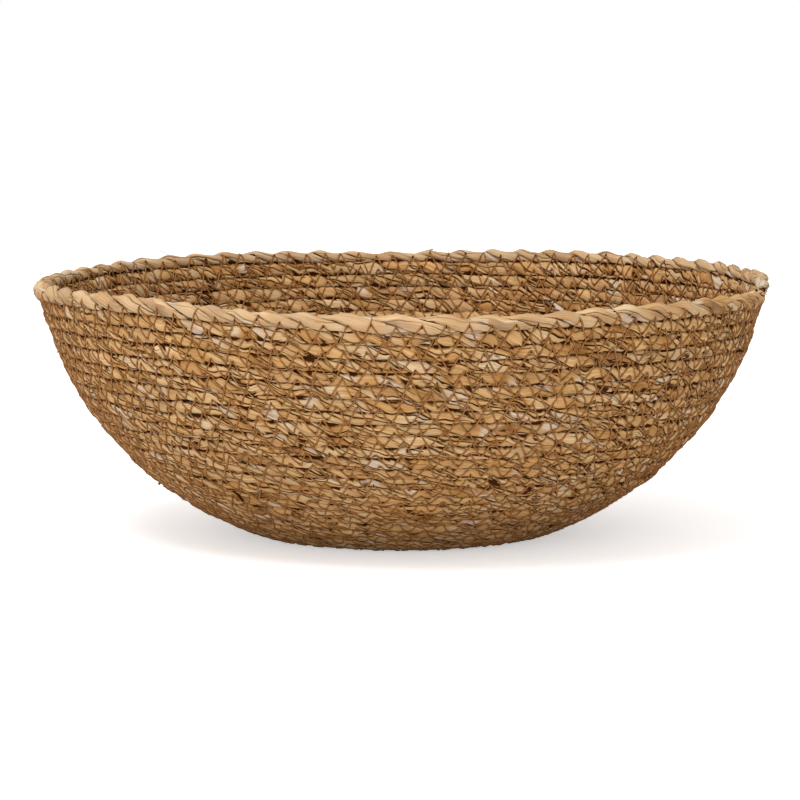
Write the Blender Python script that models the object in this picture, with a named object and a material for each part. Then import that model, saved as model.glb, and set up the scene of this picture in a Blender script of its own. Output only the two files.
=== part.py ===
# Belly basket: one rope of twisted leaves, wound as a spiral from the middle of the floor up to the rim.
# Every row is sewn to the row beneath it by a brown zigzag seam that shows on both faces of the wall.
# Metres, +Z up. The origin lies under the middle of the floor, on the surface that the basket stands on.
# The rope is one length in the real basket. Here it is parted at whole loops into floor, wall and rim.

import math

import bmesh
import bpy
import numpy as np
from mathutils import Vector

# Overall size, over the outside of the rim row
RIM_DIAMETER = 0.400

# Rope
ROPE_DIAMETER = 0.0070
ROW_GAP = 0.0006
SPLICE_GAP = 0.0003
SPLICE_SHARE = 0.5
POINTS_PER_LOOP = 21
ROPE_BEVEL_RESOLUTION = 1
FLOOR_CUT_SHARE = 0.1
START_RADIUS_SHARE = 1.09

# Loops in each zone of the wall, counted down from the rim. The heel takes the whole loops that are left,
# but for those that go with the floor.
RIM_LOOPS = 1
SHOULDER_LOOPS = 6
UPPER_BELLY_LOOPS = 4
LOWER_BELLY_LOOPS = 4
LOWER_WALL_LOOPS = 5
FLOOR_EDGE_LOOPS = 1

# Wall from the floor up: the length of each arc, and how steep the wall is where that arc ends
HEEL_LENGTH = 0.024
HEEL_END_DEG = 22.5
LOWER_BELLY_LENGTH = 0.0605
LOWER_BELLY_END_DEG = 41.0
UPPER_BELLY_LENGTH = 0.0625
UPPER_BELLY_END_DEG = 62.5
SHOULDER_LENGTH = 0.0405
SHOULDER_END_DEG = 76.5
LIP_LENGTH = 0.014
LIP_END_DEG = 62.0

# Loose end of the rope, at the right of the rim
END_AZIMUTH_DEG = -8.0
TAIL_LENGTH = 0.048
TAIL_POINTS = 3
TAIL_TIP_SHARE = 0.4

# Seam
THREAD_DIAMETER = 0.0009
THREAD_CLEARANCE = 0.0003
STITCH_STEP = 0.0061
STITCH_WIDTH = 0.0084
THREAD_BEVEL_RESOLUTION = 0

# Floor trim: room round the floor for the box that cuts it flat, and how near points are to be joined
CUTTER_MARGIN = 0.020
WELD_DISTANCE = 0.00001

# Colours of the dry leaf, row zone by row zone, and of the thread
ROPE_COLOURS = {
    "base_coil": (0.42, 0.27, 0.13),
    "heel_coil": (0.44, 0.29, 0.14),
    "lower_wall_coil": (0.46, 0.30, 0.15),
    "lower_belly_coil": (0.49, 0.32, 0.16),
    "upper_belly_coil": (0.52, 0.35, 0.18),
    "shoulder_coil": (0.56, 0.38, 0.20),
    "rim_coil": (0.64, 0.46, 0.26),
}
THREAD_COLOUR = (0.24, 0.11, 0.03)
ROPE_ROUGHNESS = 0.75
THREAD_ROUGHNESS = 0.6

# Values worked out from the sizes above
ROPE_RADIUS = ROPE_DIAMETER / 2
ROW_PITCH = ROPE_DIAMETER + ROW_GAP
THREAD_RADIUS = THREAD_DIAMETER / 2
FLOOR_HEIGHT = ROPE_RADIUS - FLOOR_CUT_SHARE * ROPE_DIAMETER
WALL_ARCS = (
    (HEEL_LENGTH, HEEL_END_DEG),
    (LOWER_BELLY_LENGTH, LOWER_BELLY_END_DEG),
    (UPPER_BELLY_LENGTH, UPPER_BELLY_END_DEG),
    (SHOULDER_LENGTH, SHOULDER_END_DEG),
    (LIP_LENGTH, LIP_END_DEG),
)
WALL_LENGTH = sum(length for length, _ in WALL_ARCS)


def clear_scene():
    for thing in list(bpy.data.objects):
        bpy.data.objects.remove(thing)


def make_collection(name):
    collection = bpy.data.collections.new(name)
    bpy.context.scene.collection.children.link(collection)
    return collection


def make_material(name, colour, roughness):
    material = bpy.data.materials.new(name)
    material.use_nodes = True
    shader = material.node_tree.nodes["Principled BSDF"]
    shader.inputs["Base Color"].default_value = (*colour, 1.0)
    shader.inputs["Roughness"].default_value = roughness
    shader.inputs["Metallic"].default_value = 0.0
    material.diffuse_color = (*colour, 1.0)
    return material


# Where the wall is at a distance along its arcs from the floor's edge: run outwards, rise, and steepness
def wall_point(distance):
    run = 0.0
    rise = 0.0
    steepness = 0.0
    for length, end_deg in WALL_ARCS:
        end = math.radians(end_deg)
        used = min(distance, length)
        turn = (end - steepness) * used / length
        chord = used * float(np.sinc(turn / math.tau))
        run += chord * math.cos(steepness + turn / 2)
        rise += chord * math.sin(steepness + turn / 2)
        steepness += turn
        distance -= used
        if distance <= 0.0:
            break
    return run, rise, steepness


FLOOR_RADIUS = RIM_DIAMETER / 2 - ROPE_RADIUS - wall_point(WALL_LENGTH)[0]
PROFILE_LENGTH = FLOOR_RADIUS + WALL_LENGTH


# How far up the profile the rope is at a count of points back from its loose end
def profile_distance(index):
    return PROFILE_LENGTH - index * ROW_PITCH / POINTS_PER_LOOP


def steepness_at(index):
    return wall_point(max(profile_distance(index) - FLOOR_RADIUS, 0.0))[2]


def spiral_point(index):
    distance = profile_distance(index)
    run, rise, _ = wall_point(max(distance - FLOOR_RADIUS, 0.0))
    radius = min(distance, FLOOR_RADIUS) + run
    azimuth = math.radians(END_AZIMUTH_DEG) + math.tau * index / POINTS_PER_LOOP
    return Vector((radius * math.cos(azimuth), radius * math.sin(azimuth), FLOOR_HEIGHT + rise))


# The same between whole points: the rope runs straight there, so that rows stay parallel
def rope_point(place):
    index = math.floor(place)
    return spiral_point(index).lerp(spiral_point(index + 1), place - index)


def moved_towards(point, other, step):
    return point + (other - point).normalized() * step


# Least distance between the surfaces of two rows, from each point to the runs half a loop or more away
def least_row_gap(points):
    path = np.array([tuple(point) for point in points])
    starts = path[:-1]
    runs = path[1:] - starts
    squares = (runs * runs).sum(axis=1)
    least = math.inf
    for index, point in enumerate(path):
        along = (((point - starts) * runs).sum(axis=1) / squares).clip(0.0, 1.0)
        gaps = np.linalg.norm(starts + runs * along[:, None] - point, axis=1)
        far = np.abs(np.arange(len(starts)) - index) > POINTS_PER_LOOP // 2
        if far.any():
            least = min(least, float(gaps[far].min()))
    return least - ROPE_DIAMETER


def make_tube(name, points, radius, resolution, collection, material, tilts=None, shares=None):
    curve = bpy.data.curves.new(name, "CURVE")
    curve.dimensions = "3D"
    curve.twist_mode = "Z_UP"
    curve.bevel_depth = radius
    curve.bevel_resolution = resolution
    curve.use_fill_caps = True
    spline = curve.splines.new("POLY")
    spline.points.add(len(points) - 1)
    for index, point in enumerate(points):
        spline.points[index].co = (*point, 1.0)
        spline.points[index].radius = shares[index] if shares else 1.0
        spline.points[index].tilt = tilts[index] if tilts else 0.0
    curve.materials.append(material)
    tube = bpy.data.objects.new(name, curve)
    collection.objects.link(tube)
    return tube


# A zone of the rope, from its lower end to its upper end. A splice lies midway between two points, where
# the rope runs straight, so that the two ends face each other squarely. Each gives up half of its gap.
def make_coil(name, first, last, collection):
    places = [last + SPLICE_SHARE, *range(last, first, -1), first + SPLICE_SHARE]
    points = [rope_point(place) for place in places]
    tilts = [steepness_at(place) for place in places]
    points[0] = moved_towards(points[0], points[1], SPLICE_GAP / 2)
    points[-1] = moved_towards(points[-1], points[-2], SPLICE_GAP / 2)
    print(f"{name}: least gap between rows {least_row_gap(points) * 1000:.2f} mm")
    material = make_material(name, ROPE_COLOURS[name], ROPE_ROUGHNESS)
    return make_tube(
        name, points, ROPE_RADIUS, ROPE_BEVEL_RESOLUTION, collection, material, tilts
    )


# The tail tapers, and sinks as it thins, so that it stays seated on the row beneath
def tail_place(share):
    chord = (spiral_point(0) - spiral_point(1)).length
    return (1.0 - share) * TAIL_LENGTH / chord


def make_rim(name, last, collection):
    places = [last + SPLICE_SHARE, *range(last, math.ceil(tail_place(0.0)) - 1, -1)]
    shares = [1.0] * len(places)
    for step in range(TAIL_POINTS + 1):
        along = step / TAIL_POINTS
        places.append(tail_place(along))
        shares.append(1.0 - (1.0 - TAIL_TIP_SHARE) * along**2)
    points = []
    for place, share in zip(places, shares):
        here = rope_point(place)
        beneath = rope_point(place + POINTS_PER_LOOP)
        points.append(moved_towards(here, beneath, ROPE_RADIUS * (1.0 - share)))
    points[0] = moved_towards(points[0], points[1], SPLICE_GAP / 2)
    tilts = [steepness_at(place) for place in places]
    material = make_material(name, ROPE_COLOURS[name], ROPE_ROUGHNESS)
    return make_tube(
        name, points, ROPE_RADIUS, ROPE_BEVEL_RESOLUTION, collection, material, tilts, shares
    )


# Middle of the groove under a rope point, with the way up the wall and the way out of it
def groove_frame(index):
    here = spiral_point(index)
    beneath = spiral_point(index + POINTS_PER_LOOP)
    up = (here - beneath).normalized()
    along = (spiral_point(index - 1) - spiral_point(index + 1)).normalized()
    out = up.cross(along).normalized()
    if out.dot(Vector((here.x, here.y, 0.0))) < 0.0:
        out.negate()
    return (here + beneath) / 2, up, out


# A zigzag over the groove between the rim row and the next, on one face of the wall.
# A whole number of stitches goes on each straight run of the rope, so that none crosses a bend.
def make_seam(name, side, collection, material):
    chord = (spiral_point(0) - spiral_point(1)).length
    stitches = max(1, round(chord / STITCH_STEP))
    first = math.ceil(tail_place(0.0))
    reach = ROPE_RADIUS + THREAD_CLEARANCE + THREAD_RADIUS
    points = []
    for index in range(first, RIM_LOOPS * POINTS_PER_LOOP):
        near = groove_frame(index)
        far = groove_frame(index + 1)
        for stitch in range(stitches):
            middle, up, out = (a.lerp(b, stitch / stitches) for a, b in zip(near, far))
            swing = STITCH_WIDTH / 2 * (-1) ** len(points)
            points.append(middle + up * swing + out * side * reach)
    return make_tube(
        name, points, THREAD_RADIUS, THREAD_BEVEL_RESOLUTION, collection, material
    )


# The coil as a closed mesh, trimmed flat where it stands on the surface
def cut_flat(coil, collection, cutters):
    bpy.context.view_layer.update()
    evaluated = coil.evaluated_get(bpy.context.evaluated_depsgraph_get())
    mesh = bpy.data.meshes.new_from_object(evaluated)
    shell = bmesh.new()
    shell.from_mesh(mesh)
    bmesh.ops.remove_doubles(shell, verts=shell.verts, dist=WELD_DISTANCE)
    bmesh.ops.recalc_face_normals(shell, faces=shell.faces)
    shell.to_mesh(mesh)
    shell.free()
    name = coil.name
    placed = coil.matrix_world.copy()
    bpy.data.objects.remove(coil)
    solid = bpy.data.objects.new(name, mesh)
    solid.matrix_world = placed
    collection.objects.link(solid)
    width = FLOOR_RADIUS + ROW_PITCH * FLOOR_EDGE_LOOPS + ROPE_DIAMETER + CUTTER_MARGIN
    across = 2 * width / CUTTER_MARGIN
    box = bmesh.new()
    bmesh.ops.create_cube(box, size=CUTTER_MARGIN)
    bmesh.ops.scale(box, vec=(across, across, 1.0), verts=box.verts)
    bmesh.ops.translate(box, vec=(0.0, 0.0, -CUTTER_MARGIN / 2), verts=box.verts)
    cutter_mesh = bpy.data.meshes.new("floor_trim")
    box.to_mesh(cutter_mesh)
    box.free()
    cutter = bpy.data.objects.new("floor_trim", cutter_mesh)
    cutter.hide_render = True
    cutter.display_type = "WIRE"
    cutters.objects.link(cutter)
    trim = solid.modifiers.new("floor_trim", "BOOLEAN")
    trim.operation = "DIFFERENCE"
    trim.object = cutter
    return solid


def build_basket():
    clear_scene()
    parts = make_collection("belly_basket")
    cutters = make_collection("cutters")

    wall_loops = int(WALL_LENGTH / ROW_PITCH) - FLOOR_EDGE_LOOPS
    zones = (
        ("shoulder_coil", SHOULDER_LOOPS),
        ("upper_belly_coil", UPPER_BELLY_LOOPS),
        ("lower_belly_coil", LOWER_BELLY_LOOPS),
        ("lower_wall_coil", LOWER_WALL_LOOPS),
    )
    start_distance = START_RADIUS_SHARE * ROW_PITCH
    start = int((PROFILE_LENGTH - start_distance) / ROW_PITCH * POINTS_PER_LOOP)

    upper = RIM_LOOPS * POINTS_PER_LOOP
    make_rim("rim_coil", upper, parts)
    for name, loops in zones:
        lower = upper + loops * POINTS_PER_LOOP
        make_coil(name, upper, lower, parts)
        upper = lower
    floor_edge = wall_loops * POINTS_PER_LOOP
    make_coil("heel_coil", upper, floor_edge, parts)
    base = make_coil("base_coil", floor_edge, start, parts)
    cut_flat(base, parts, cutters)

    thread = make_material("seam_thread", THREAD_COLOUR, THREAD_ROUGHNESS)
    make_seam("outer_rim_seam", 1, parts, thread)
    make_seam("inner_rim_seam", -1, parts, thread)

    print(f"floor radius {FLOOR_RADIUS * 1000:.1f} mm, wall loops {wall_loops}")


build_basket()
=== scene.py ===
# Belly basket: the looks of a basket coiled from twisted leaf rope and sewn row to row with brown thread.
# Metres, +Z up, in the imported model's own frame. The rope is one spiral from the middle of the floor to the rim.
import math

import bpy
import numpy as np
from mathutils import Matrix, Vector


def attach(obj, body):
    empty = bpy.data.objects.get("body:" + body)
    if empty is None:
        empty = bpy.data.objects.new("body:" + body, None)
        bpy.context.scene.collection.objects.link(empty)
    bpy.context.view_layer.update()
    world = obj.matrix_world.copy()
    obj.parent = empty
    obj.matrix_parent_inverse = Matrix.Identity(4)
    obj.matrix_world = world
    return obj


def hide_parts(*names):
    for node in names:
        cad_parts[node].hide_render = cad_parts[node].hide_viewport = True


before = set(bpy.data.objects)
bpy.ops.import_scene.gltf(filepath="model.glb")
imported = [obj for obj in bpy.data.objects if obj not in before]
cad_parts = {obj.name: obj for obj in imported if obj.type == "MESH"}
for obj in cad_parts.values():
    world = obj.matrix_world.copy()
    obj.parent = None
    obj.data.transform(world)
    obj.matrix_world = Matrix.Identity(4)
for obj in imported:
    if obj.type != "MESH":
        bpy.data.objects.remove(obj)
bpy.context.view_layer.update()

basketShape = {
    "rimDiameter": 0.400,
    "ropeDiameter": 0.0070,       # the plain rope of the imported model
    "rowPitch": 0.0076,
    "floorHeight": 0.0028,        # of the rope's middle, in the floor
    "wallArcs": ((0.024, 22.5), (0.0605, 41.0), (0.0625, 62.5), (0.0405, 76.5), (0.014, 62.0)),  # length, end's steepness
    "looseEndDeg": -8.0,
    "startRadius": 0.0010,        # round which the rope's first end is folded, at the middle of the floor
    "startFold": 0.42,            # of a turn
    "rowDrift": 0.00072,          # how far rows wander up and down the wall
    "wallDrift": 0.00055,         # and in and out of it
    "driftLength": 0.055,
    "rimWaves": ((-0.00046, 0.00008), (0.00035, 0.00014), (0.00029, -0.00062), (-0.00102, -0.00005)),  # once round, twice...
    "waveRows": 8.0,              # rows from the rim down to where the waves have died out
    "rimBulge": {"out": 0.0017, "atDeg": 184.0, "widthDeg": 17.0, "rows": 3.0},
    "seed": 7,
}

# rows counted back from the loose end of the rope: name of the zone, first row, last row, its node
zones = (
    ("rim", 0.0, 1.0, "rim_coil"),
    ("shoulder", 1.0, 7.0, "shoulder_coil"),
    ("upperBelly", 7.0, 11.0, "upper_belly_coil"),
    ("lowerBelly", 11.0, 15.0, "lower_belly_coil"),
    ("lowerWall", 15.0, 20.0, "lower_wall_coil"),
    ("heel", 20.0, 25.0, "heel_coil"),
    ("floor", 25.0, 99.0, "base_coil"),
)


def smoothNoise(place, seed):  # -1 to 1, one bump a unit
    values = np.random.default_rng(seed).uniform(-1.0, 1.0, 4096)
    whole = np.floor(place).astype(int)
    share = place - whole
    share = share * share * (3.0 - 2.0 * share)
    return values[whole % 4096] * (1.0 - share) + values[(whole + 1) % 4096] * share


def wallAt(distance):  # out, up and steepness at distances along the wall's arcs
    run, rise, steep = (np.zeros_like(distance) for _ in range(3))
    start, startSteep = 0.0, 0.0
    for length, endDeg in basketShape["wallArcs"]:
        used = np.clip(distance - start, 0.0, length)
        turn = (math.radians(endDeg) - startSteep) * used / length
        chord = used * np.sinc(turn / math.tau)
        run += chord * np.cos(startSteep + turn / 2)
        rise += chord * np.sin(startSteep + turn / 2)
        steep += turn
        start, startSteep = start + length, math.radians(endDeg)
    return run, rise, steep


wallLength = sum(length for length, _ in basketShape["wallArcs"])
floorRadius = (basketShape["rimDiameter"] - basketShape["ropeDiameter"]) / 2 - float(wallAt(np.array([wallLength]))[0][0])
profileLength = floorRadius + wallLength
startRow = (profileLength - basketShape["startRadius"]) / basketShape["rowPitch"] + basketShape["startFold"]


def ropeAt(row):  # the rope's middle, and the ways up the wall and out of it, at rows counted back from its end
    distance = np.maximum(profileLength - row * basketShape["rowPitch"], basketShape["startRadius"])
    run, rise, steep = wallAt(np.maximum(distance - floorRadius, 0.0))
    radius = np.minimum(distance, floorRadius) + run
    turn = math.radians(basketShape["looseEndDeg"]) + math.tau * row
    across, along = np.cos(turn), np.sin(turn)
    middle = np.stack([radius * across, radius * along, basketShape["floorHeight"] + rise], axis=1)
    up = np.stack([np.cos(steep) * across, np.cos(steep) * along, np.sin(steep)], axis=1)
    out = np.stack([np.sin(steep) * across, np.sin(steep) * along, -np.cos(steep)], axis=1)
    return middle, up, out


# length of the rope from its start, at fine steps of the row count
fineRows = np.linspace(startRow, 0.0, 24001)
finePoints = ropeAt(fineRows)[0]
fineLengths = np.concatenate([[0.0], np.cumsum(np.linalg.norm(np.diff(finePoints, axis=0), axis=1))])


def ropeLengthAt(row):
    return np.interp(-np.asarray(row), -fineRows, fineLengths)


def rowAt(length):
    return np.interp(length, fineLengths, fineRows)


def driftAt(row):  # how far a row has wandered up the wall and out of it
    place = ropeLengthAt(row) / basketShape["driftLength"]
    calm = np.clip((startRow - row) / 3.0, 0.0, 1.0)
    upwards = smoothNoise(place, basketShape["seed"]) + 0.5 * smoothNoise(place * 2.3, basketShape["seed"] + 1)
    outwards = smoothNoise(place * 1.3, basketShape["seed"] + 2) + 0.4 * smoothNoise(place * 3.1, basketShape["seed"] + 5)
    onWall = np.clip((24.0 - row) / 4.0, 0.0, 1.0)
    return basketShape["rowDrift"] * upwards * calm, basketShape["wallDrift"] * outwards * onWall


def wanderingRope(row):
    middle, up, out = ropeAt(row)
    upwards, outwards = driftAt(row)
    turn = math.radians(basketShape["looseEndDeg"]) + math.tau * row
    waves = enumerate(basketShape["rimWaves"], start=1)
    lift = sum(even * np.cos(times * turn) + odd * np.sin(times * turn) for times, (even, odd) in waves)
    middle[:, 2] += lift * np.clip(1.0 - row / basketShape["waveRows"], 0.0, 1.0)
    bulge = basketShape["rimBulge"]
    offCentre = (np.degrees(turn) - bulge["atDeg"] + 180.0) % 360.0 - 180.0
    outwards = outwards + bulge["out"] * np.exp(-((offCentre / bulge["widthDeg"]) ** 2)) * np.clip(1.0 - row / bulge["rows"], 0.0, 1.0)
    return middle + up * upwards[:, None] + out * outwards[:, None], up, out


print(f"rope: {fineLengths[-1]:.2f} m in {startRow:.1f} rows, floor radius {floorRadius * 1000:.1f} mm")


# ---- small helpers for node trees and meshes

def feed(tree, socket, value):
    if isinstance(value, bpy.types.NodeSocket):
        tree.links.new(value, socket)
    elif value is not None:
        socket.default_value = value


def addNode(tree, kind, *values, **settings):
    node = tree.nodes.new(kind)
    for key, value in settings.items():
        setattr(node, key, value)
    for socket, value in zip([s for s in node.inputs if s.enabled], values):
        feed(tree, socket, value)
    return node


def outOf(node, name=None):
    sockets = [s for s in node.outputs if s.enabled]
    return next((s for s in sockets if s.name == name), sockets[0])


def sumOf(tree, operation, *values):
    return outOf(addNode(tree, "ShaderNodeMath", *values, operation=operation))


def productOf(tree, first, *others):
    for other in others:
        first = sumOf(tree, "MULTIPLY", first, other)
    return first


def vectorOf(tree, operation, *values):
    return outOf(addNode(tree, "ShaderNodeVectorMath", *values, operation=operation))


def scaled(tree, vector, amount):
    node = addNode(tree, "ShaderNodeVectorMath", vector, operation="SCALE")
    feed(tree, node.inputs["Scale"], amount)
    return outOf(node)


def vectorFrom(tree, *parts):
    return outOf(addNode(tree, "ShaderNodeCombineXYZ", *parts))


def spread(tree, value, lowIn, highIn, low, high):
    return outOf(addNode(tree, "ShaderNodeMapRange", value, lowIn, highIn, low, high))


def blendOf(tree, share, first, second):
    return outOf(addNode(tree, "ShaderNodeMix", share, first, second, data_type="RGBA"))


def readAttribute(tree, name, kind="FLOAT"):
    return outOf(addNode(tree, "GeometryNodeInputNamedAttribute", name, data_type=kind))


def storeAttribute(tree, geometry, name, value, kind="FLOAT"):
    return outOf(addNode(tree, "GeometryNodeStoreNamedAttribute", geometry, None, name, value, data_type=kind))


def newTree(name, kind, inputs, outputs):
    tree = bpy.data.node_groups.new(name, kind)
    for label, socketType, value in inputs:
        socket = tree.interface.new_socket(name=label, in_out="INPUT", socket_type=socketType)
        if value is not None:
            socket.default_value = value
    for label, socketType in outputs:
        tree.interface.new_socket(name=label, in_out="OUTPUT", socket_type=socketType)
    return tree, tree.nodes.new("NodeGroupInput").outputs, tree.nodes.new("NodeGroupOutput").inputs


def layOut(tree):  # nodes in columns, in the order they were made
    for index, node in enumerate(tree.nodes):
        node.location = (220 * (index // 6), -190 * (index % 6))


def aboveTable(tree, mesh):  # nothing goes below the table that the basket stands on
    parts = addNode(tree, "ShaderNodeSeparateXYZ", outOf(addNode(tree, "GeometryNodeInputPosition")))
    place = vectorFrom(tree, outOf(parts, "X"), outOf(parts, "Y"), sumOf(tree, "MAXIMUM", outOf(parts, "Z"), 0.0001))
    return outOf(addNode(tree, "GeometryNodeSetPosition", mesh, None, place))


def finishTree(tree, mesh, finish, result):
    mesh = outOf(addNode(tree, "GeometryNodeSetShadeSmooth", mesh, None, True))
    mesh = outOf(addNode(tree, "GeometryNodeRealizeInstances", mesh))
    tree.links.new(outOf(addNode(tree, "GeometryNodeSetMaterial", mesh, None, finish)), result)
    layOut(tree)
    return tree


def pathObject(name, points, attributes, lineCount=1, closed=False):  # lines of points with values on them, for a tree to follow
    mesh = bpy.data.meshes.new(name)
    mesh.vertices.add(len(points))
    mesh.vertices.foreach_set("co", points.astype(np.float32).ravel())
    first = np.arange(len(points)).reshape(lineCount, -1)
    ends = np.stack([first[:, :-1].ravel(), first[:, 1:].ravel()], axis=1)
    if closed:
        ends = np.concatenate([ends, [[len(points) - 1, 0]]])
    mesh.edges.add(len(ends))
    mesh.edges.foreach_set("vertices", ends.astype(np.int32).ravel())
    for label, values in attributes.items():
        isVector = values.ndim == 2
        layer = mesh.attributes.new(label, "FLOAT_VECTOR" if isVector else "FLOAT", "POINT")
        layer.data.foreach_set("vector" if isVector else "value", values.astype(np.float32).ravel())
    mesh.update()
    holder = bpy.data.objects.new(name, mesh)
    bpy.context.scene.collection.objects.link(holder)
    return holder


keptAttributes = (
    "leafPlace", "leafCrease", "leafBleach", "threadGap", "holeGap", "threadPlace", "position", "material_index", "sharp_face",
)


def grown(holder, tree, values):  # runs a tree on an object and keeps the result as its plain mesh
    modifier = holder.modifiers.new(tree.name, "NODES")
    modifier.node_group = tree
    for item in tree.interface.items_tree:
        if item.in_out == "INPUT" and item.name in values:
            modifier[item.identifier] = values[item.name]
    bpy.context.view_layer.update()
    evaluated = holder.evaluated_get(bpy.context.evaluated_depsgraph_get())
    mesh = bpy.data.meshes.new_from_object(evaluated)
    path = holder.data
    holder.modifiers.clear()
    holder.data = mesh
    mesh.name = holder.name
    bpy.data.meshes.remove(path)
    for label in list(mesh.attributes.keys()):
        if label not in keptAttributes and not label.startswith("."):
            mesh.attributes.remove(mesh.attributes[label])
    return holder


def putIn(holder, slot, *nodes):  # rides with the basket, and hides the imported nodes that it stands in for
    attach(holder, "root")
    if nodes:
        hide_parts(*nodes)


def crossedCollection(name, holders):
    crossed = bpy.data.collections.new(name)
    bpy.context.scene.collection.children.link(crossed)
    for holder in holders:
        crossed.objects.link(holder)
    return crossed


# ---- finishes

leafLook = {
    "tones": (  # from the darkest leaves to the palest
        (0.00, (0.24, 0.094, 0.022)), (0.20, (0.445, 0.217, 0.067)), (0.45, (0.58, 0.322, 0.124)),
        (0.72, (0.66, 0.420, 0.198)), (1.00, (0.705, 0.535, 0.345)),
    ),
    "grey": (0.43, 0.275, 0.150),
    "pith": (0.66, 0.54, 0.41),
    "stain": (0.18, 0.070, 0.016),
    "edge": (0.15, 0.052, 0.007),    # painted shade: brown, towards a crease
    "shade": (0.035, 0.008, 0.0),    # painted shade: near black, deep in it
    # pale leaves; also painted light on the rim row, whose top catches the light
    "paleAndRimLit": (0.66, 0.550, 0.410),
    "pressWidth": 0.0013,    # up the wall, on either side of a thread, where the stitch presses the leaf in and painted shadow darkens it
    "press": 0.00040,
    "split": 0.0003,         # depth of the lines where a leaf has split or folded
    "holeWidth": 0.0016,     # along the rope, on either side of a stitch hole, where the hole is pressed in and painted shade darkens it
    "hole": 0.0008,
}
threadLook = {"dark": (0.17, 0.066, 0.015), "light": (0.41, 0.186, 0.055), "roughness": 0.7}


def makeStreakGroup():  # fine lines that run with the leaf: place is (along in metres, which leaf, across it)
    tree, given, result = newTree(
        "leafStreaks", "ShaderNodeTree",
        [
            ("Place", "NodeSocketVector", None), ("Along", "NodeSocketFloat", 60.0), ("Leaf", "NodeSocketFloat", 7.0),
            ("Across", "NodeSocketFloat", 5.0), ("Detail", "NodeSocketFloat", 3.0),
        ],
        [("Streak", "NodeSocketFloat")],
    )
    stretched = vectorOf(tree, "MULTIPLY", given["Place"], vectorFrom(tree, given["Along"], given["Leaf"], given["Across"]))
    tree.links.new(outOf(addNode(tree, "ShaderNodeTexNoise", stretched, 1.0, given["Detail"], 0.55)), result["Streak"])
    layOut(tree)
    return tree


def newMaterial(name):
    material = bpy.data.materials.new(name)
    material.use_nodes = True
    return material, material.node_tree, material.node_tree.nodes["Principled BSDF"]


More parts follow.
